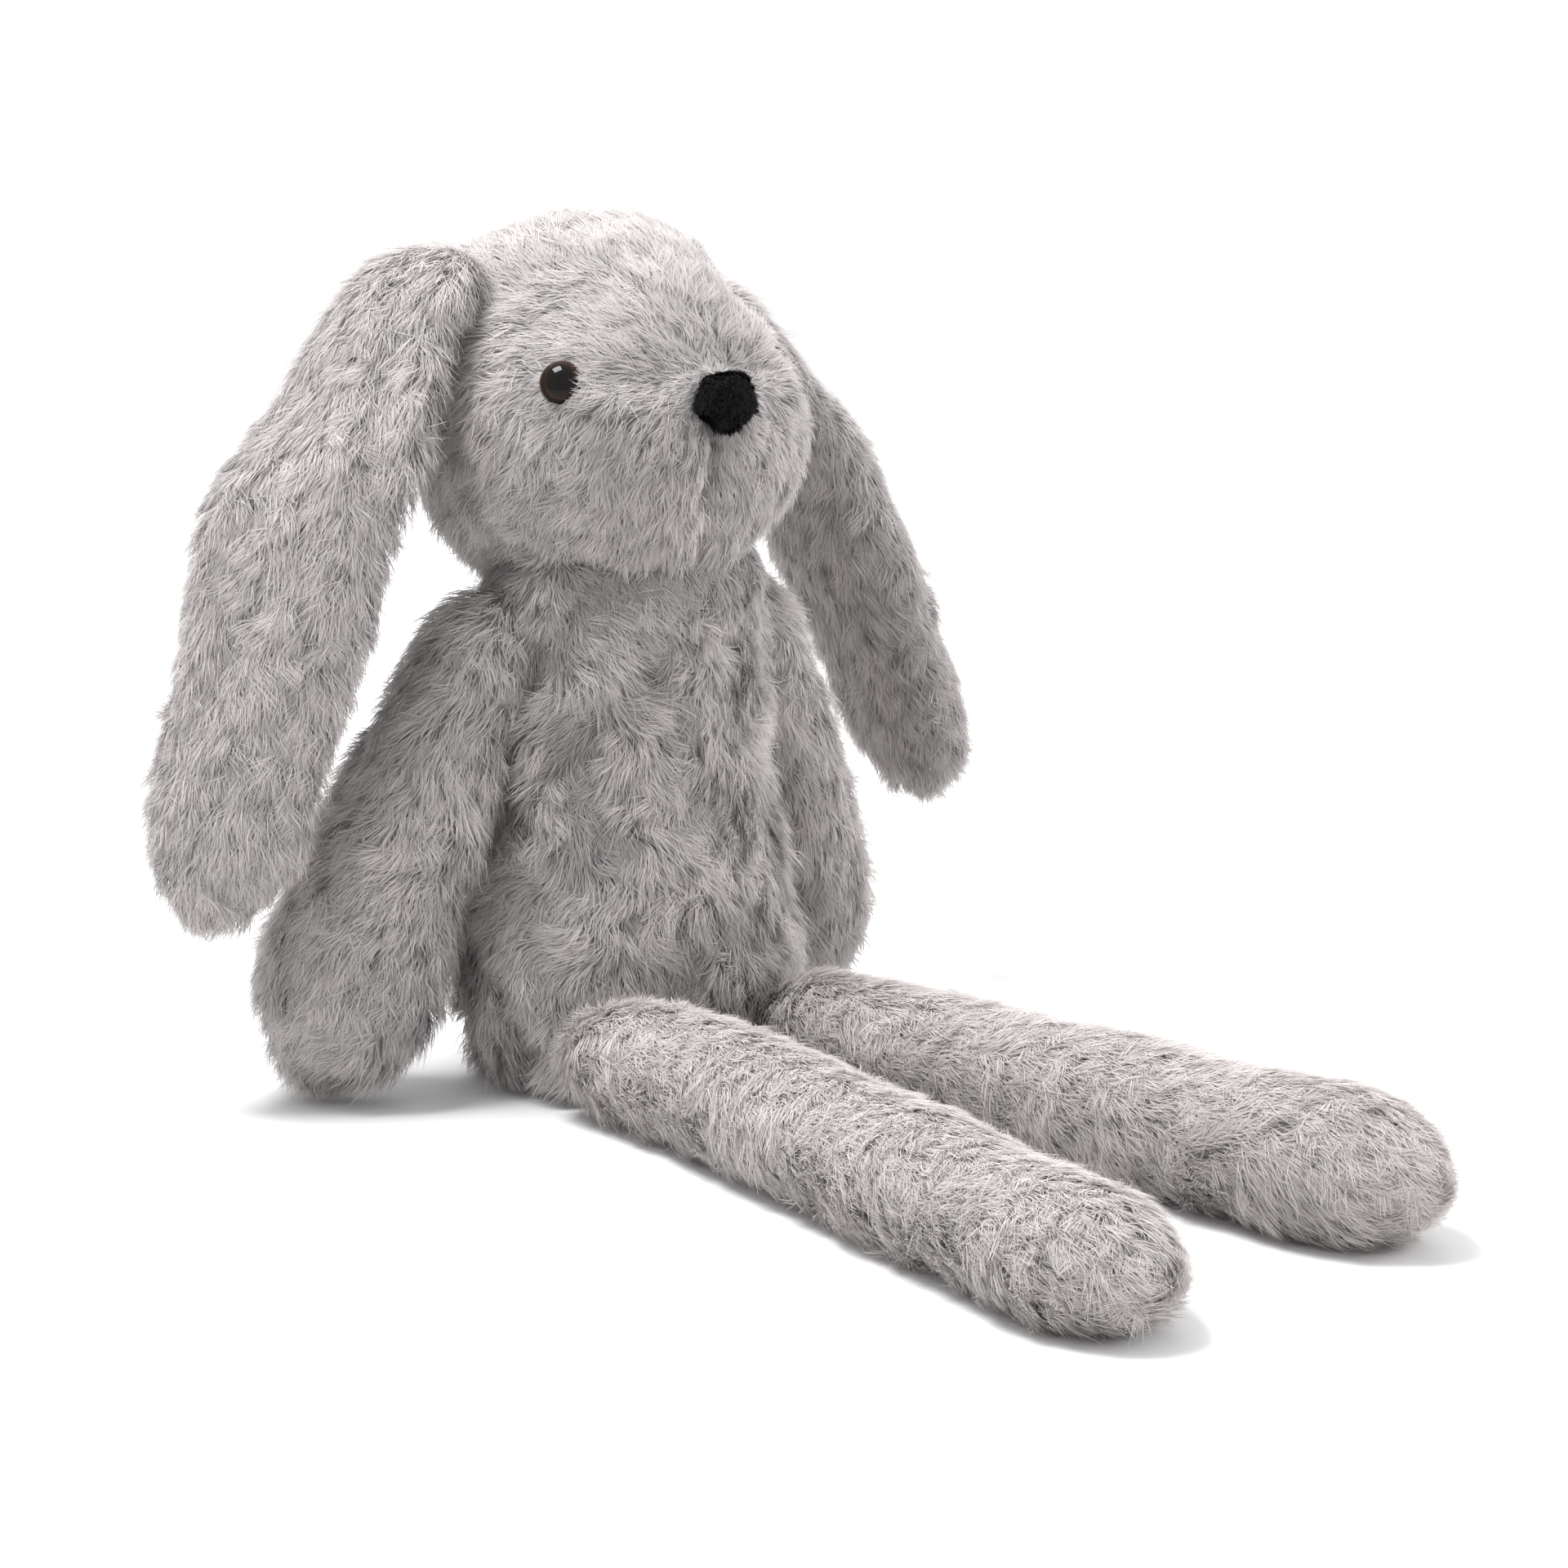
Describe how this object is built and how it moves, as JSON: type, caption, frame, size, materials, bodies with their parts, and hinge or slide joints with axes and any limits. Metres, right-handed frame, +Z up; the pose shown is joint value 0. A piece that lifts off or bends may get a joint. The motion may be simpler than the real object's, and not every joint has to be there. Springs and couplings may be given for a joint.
{
  "type": "stuffed rabbit",
  "caption": "Long-legged sitting plush rabbit with hanging ears, sewn cloth panels, soft filling, domed eyes and a dark flocked nose.",
  "frame": {"origin": "on the surface it sits on, under the middle of the seat", "axes": "+Z up, the face looks along -Y and the legs lie that way, +X is the left side of the rabbit"},
  "size_m": [0.23, 0.3061, 0.2068],
  "materials": {
    "plush": "long soft grey pile",
    "filling": "loose polyester fibre",
    "thread": "spun sewing thread",
    "bag_cloth": "plain thin woven cloth",
    "pellets": "small smooth pellets",
    "eye_gloss": "polished dark brown dome",
    "washer": "plain moulded",
    "nose_flock": "short dense black flock"
  },
  "bodies": {
    "torso": {"closing_seam": "thread", "left_hip_seam": "thread", "left_shoulder_seam": "thread", "pellet_bag": "bag_cloth", "pellet_fill": "pellets", "right_hip_seam": "thread", "right_shoulder_seam": "thread", "tail_cover": "plush", "tail_seam": "thread", "tail_stuffing": "filling", "torso_back_panel": "plush", "torso_front_panel": "plush", "torso_stuffing": "filling"},
    "neck": {"neck_seam": "thread", "neck_stuffing": "filling"},
    "head": {"head_gusset": "plush", "head_left_panel": "plush", "head_right_panel": "plush", "head_stuffing": "filling", "left_ear_seam": "thread", "left_eye": "eye_gloss", "left_eye_washer": "washer", "nose": "nose_flock", "nose_washer": "washer", "right_ear_seam": "thread", "right_eye": "eye_gloss", "right_eye_washer": "washer"},
    "left_ear": {"left_ear_inner": "plush", "left_ear_outer": "plush"},
    "right_ear": {"right_ear_inner": "plush", "right_ear_outer": "plush"},
    "left_arm": {"left_arm_front_panel": "plush", "left_arm_rear_panel": "plush", "left_arm_stuffing": "filling"},
    "right_arm": {"right_arm_front_panel": "plush", "right_arm_rear_panel": "plush", "right_arm_stuffing": "filling"},
    "left_leg": {"left_leg_lower_panel": "plush", "left_leg_stuffing": "filling", "left_leg_upper_panel": "plush"},
    "right_leg": {"right_leg_lower_panel": "plush", "right_leg_stuffing": "filling", "right_leg_upper_panel": "plush"}
  },
  "joints": [
    {"name": "head_turn", "type": "hinge", "parent": "torso", "child": "neck", "pos_m": [0, 0, 0.119], "axis": [0, 0, 1], "range_deg": [-25, 25], "stiffness_Nm_per_rad": 0.35},
    {"name": "head_nod", "type": "hinge", "parent": "neck", "child": "head", "pos_m": [0, 0, 0.1225], "axis": [1, 0, 0], "range_deg": [-14, 18], "stiffness_Nm_per_rad": 0.9},
    {"name": "left_ear_flop", "type": "hinge", "parent": "head", "child": "left_ear", "pos_m": [0.0425, 0.021, 0.186], "axis": [0, 1, 0], "range_deg": [-110, 0]},
    {"name": "right_ear_flop", "type": "hinge", "parent": "head", "child": "right_ear", "pos_m": [-0.0425, 0.021, 0.186], "axis": [0, -1, 0], "range_deg": [-110, 0]},
    {"name": "left_arm_swing", "type": "hinge", "parent": "torso", "child": "left_arm", "pos_m": [0.041, 0.004, 0.106], "axis": [1, 0, 0], "range_deg": [-95, 20]},
    {"name": "right_arm_swing", "type": "hinge", "parent": "torso", "child": "right_arm", "pos_m": [-0.041, 0.004, 0.106], "axis": [1, 0, 0], "range_deg": [-95, 20]},
    {"name": "left_leg_swing", "type": "hinge", "parent": "torso", "child": "left_leg", "pos_m": [0.0235, -0.046, 0.016], "axis": [-1, 0, 0], "range_deg": [-90, 40]},
    {"name": "right_leg_swing", "type": "hinge", "parent": "torso", "child": "right_leg", "pos_m": [-0.0235, -0.046, 0.016], "axis": [-1, 0, 0], "range_deg": [-90, 40]}
  ]
}
